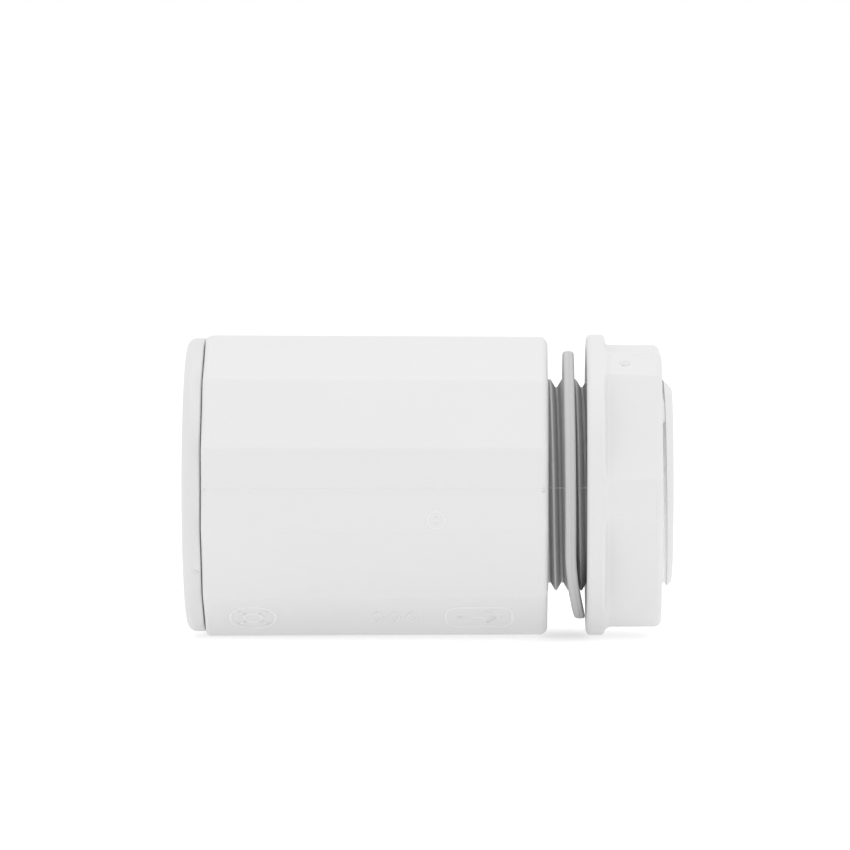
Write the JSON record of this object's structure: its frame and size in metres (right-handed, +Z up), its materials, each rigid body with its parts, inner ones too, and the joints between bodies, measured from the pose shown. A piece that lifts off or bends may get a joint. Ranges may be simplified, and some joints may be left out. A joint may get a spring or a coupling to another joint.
{
  "type": "push fit coupling",
  "caption": "Push-fit conduit coupling: many-sided white body with a gripping collet and seal inside, threaded tail, flat gasket and flanged hex locknut.",
  "frame": {"origin": "on the axis, in the plane of the barrel's shoulder, where the gasket and box wall seat", "axes": "+X along the axis towards the threaded tail, +Z up with a barrel flat on top and one below, -Y the front as pictured"},
  "size_m": [0.0572, 0.0356, 0.0356],
  "materials": {
    "white_plastic": "satin moulded",
    "warm_white_plastic": "satin moulded",
    "gasket_rubber": "matt",
    "seal_rubber": "lightly greased",
    "collet_plastic": "matt moulded",
    "tooth_steel": "stamped"
  },
  "bodies": {
    "barrel": {"barrel": "white_plastic", "entry_cap": "warm_white_plastic", "spacer_washer": "white_plastic", "socket_o_ring": "seal_rubber"},
    "collet": {"grip_collet": "collet_plastic", "collet_teeth": "tooth_steel"},
    "gasket": {"flat_gasket": "gasket_rubber"},
    "locknut": {"locknut": "warm_white_plastic"}
  },
  "joints": [
    {"name": "collet_slide", "type": "slide", "parent": "barrel", "child": "collet", "axis": [1, 0, 0], "range_m": [-0.0004, 0.0009]},
    {"name": "gasket_slide", "type": "slide", "parent": "barrel", "child": "gasket", "axis": [1, 0, 0], "range_m": [-0.00185, 0.0107]},
    {"name": "nut_spin", "type": "hinge", "parent": "gasket", "child": "locknut", "pos_m": [0, 0, 0], "axis": [1, 0, 0], "range_deg": [-432, 2544]}
  ],
  "couplings": [
    {"joint": "gasket_slide", "follows": "nut_spin", "m_per_rad": 0.00023873}
  ]
}
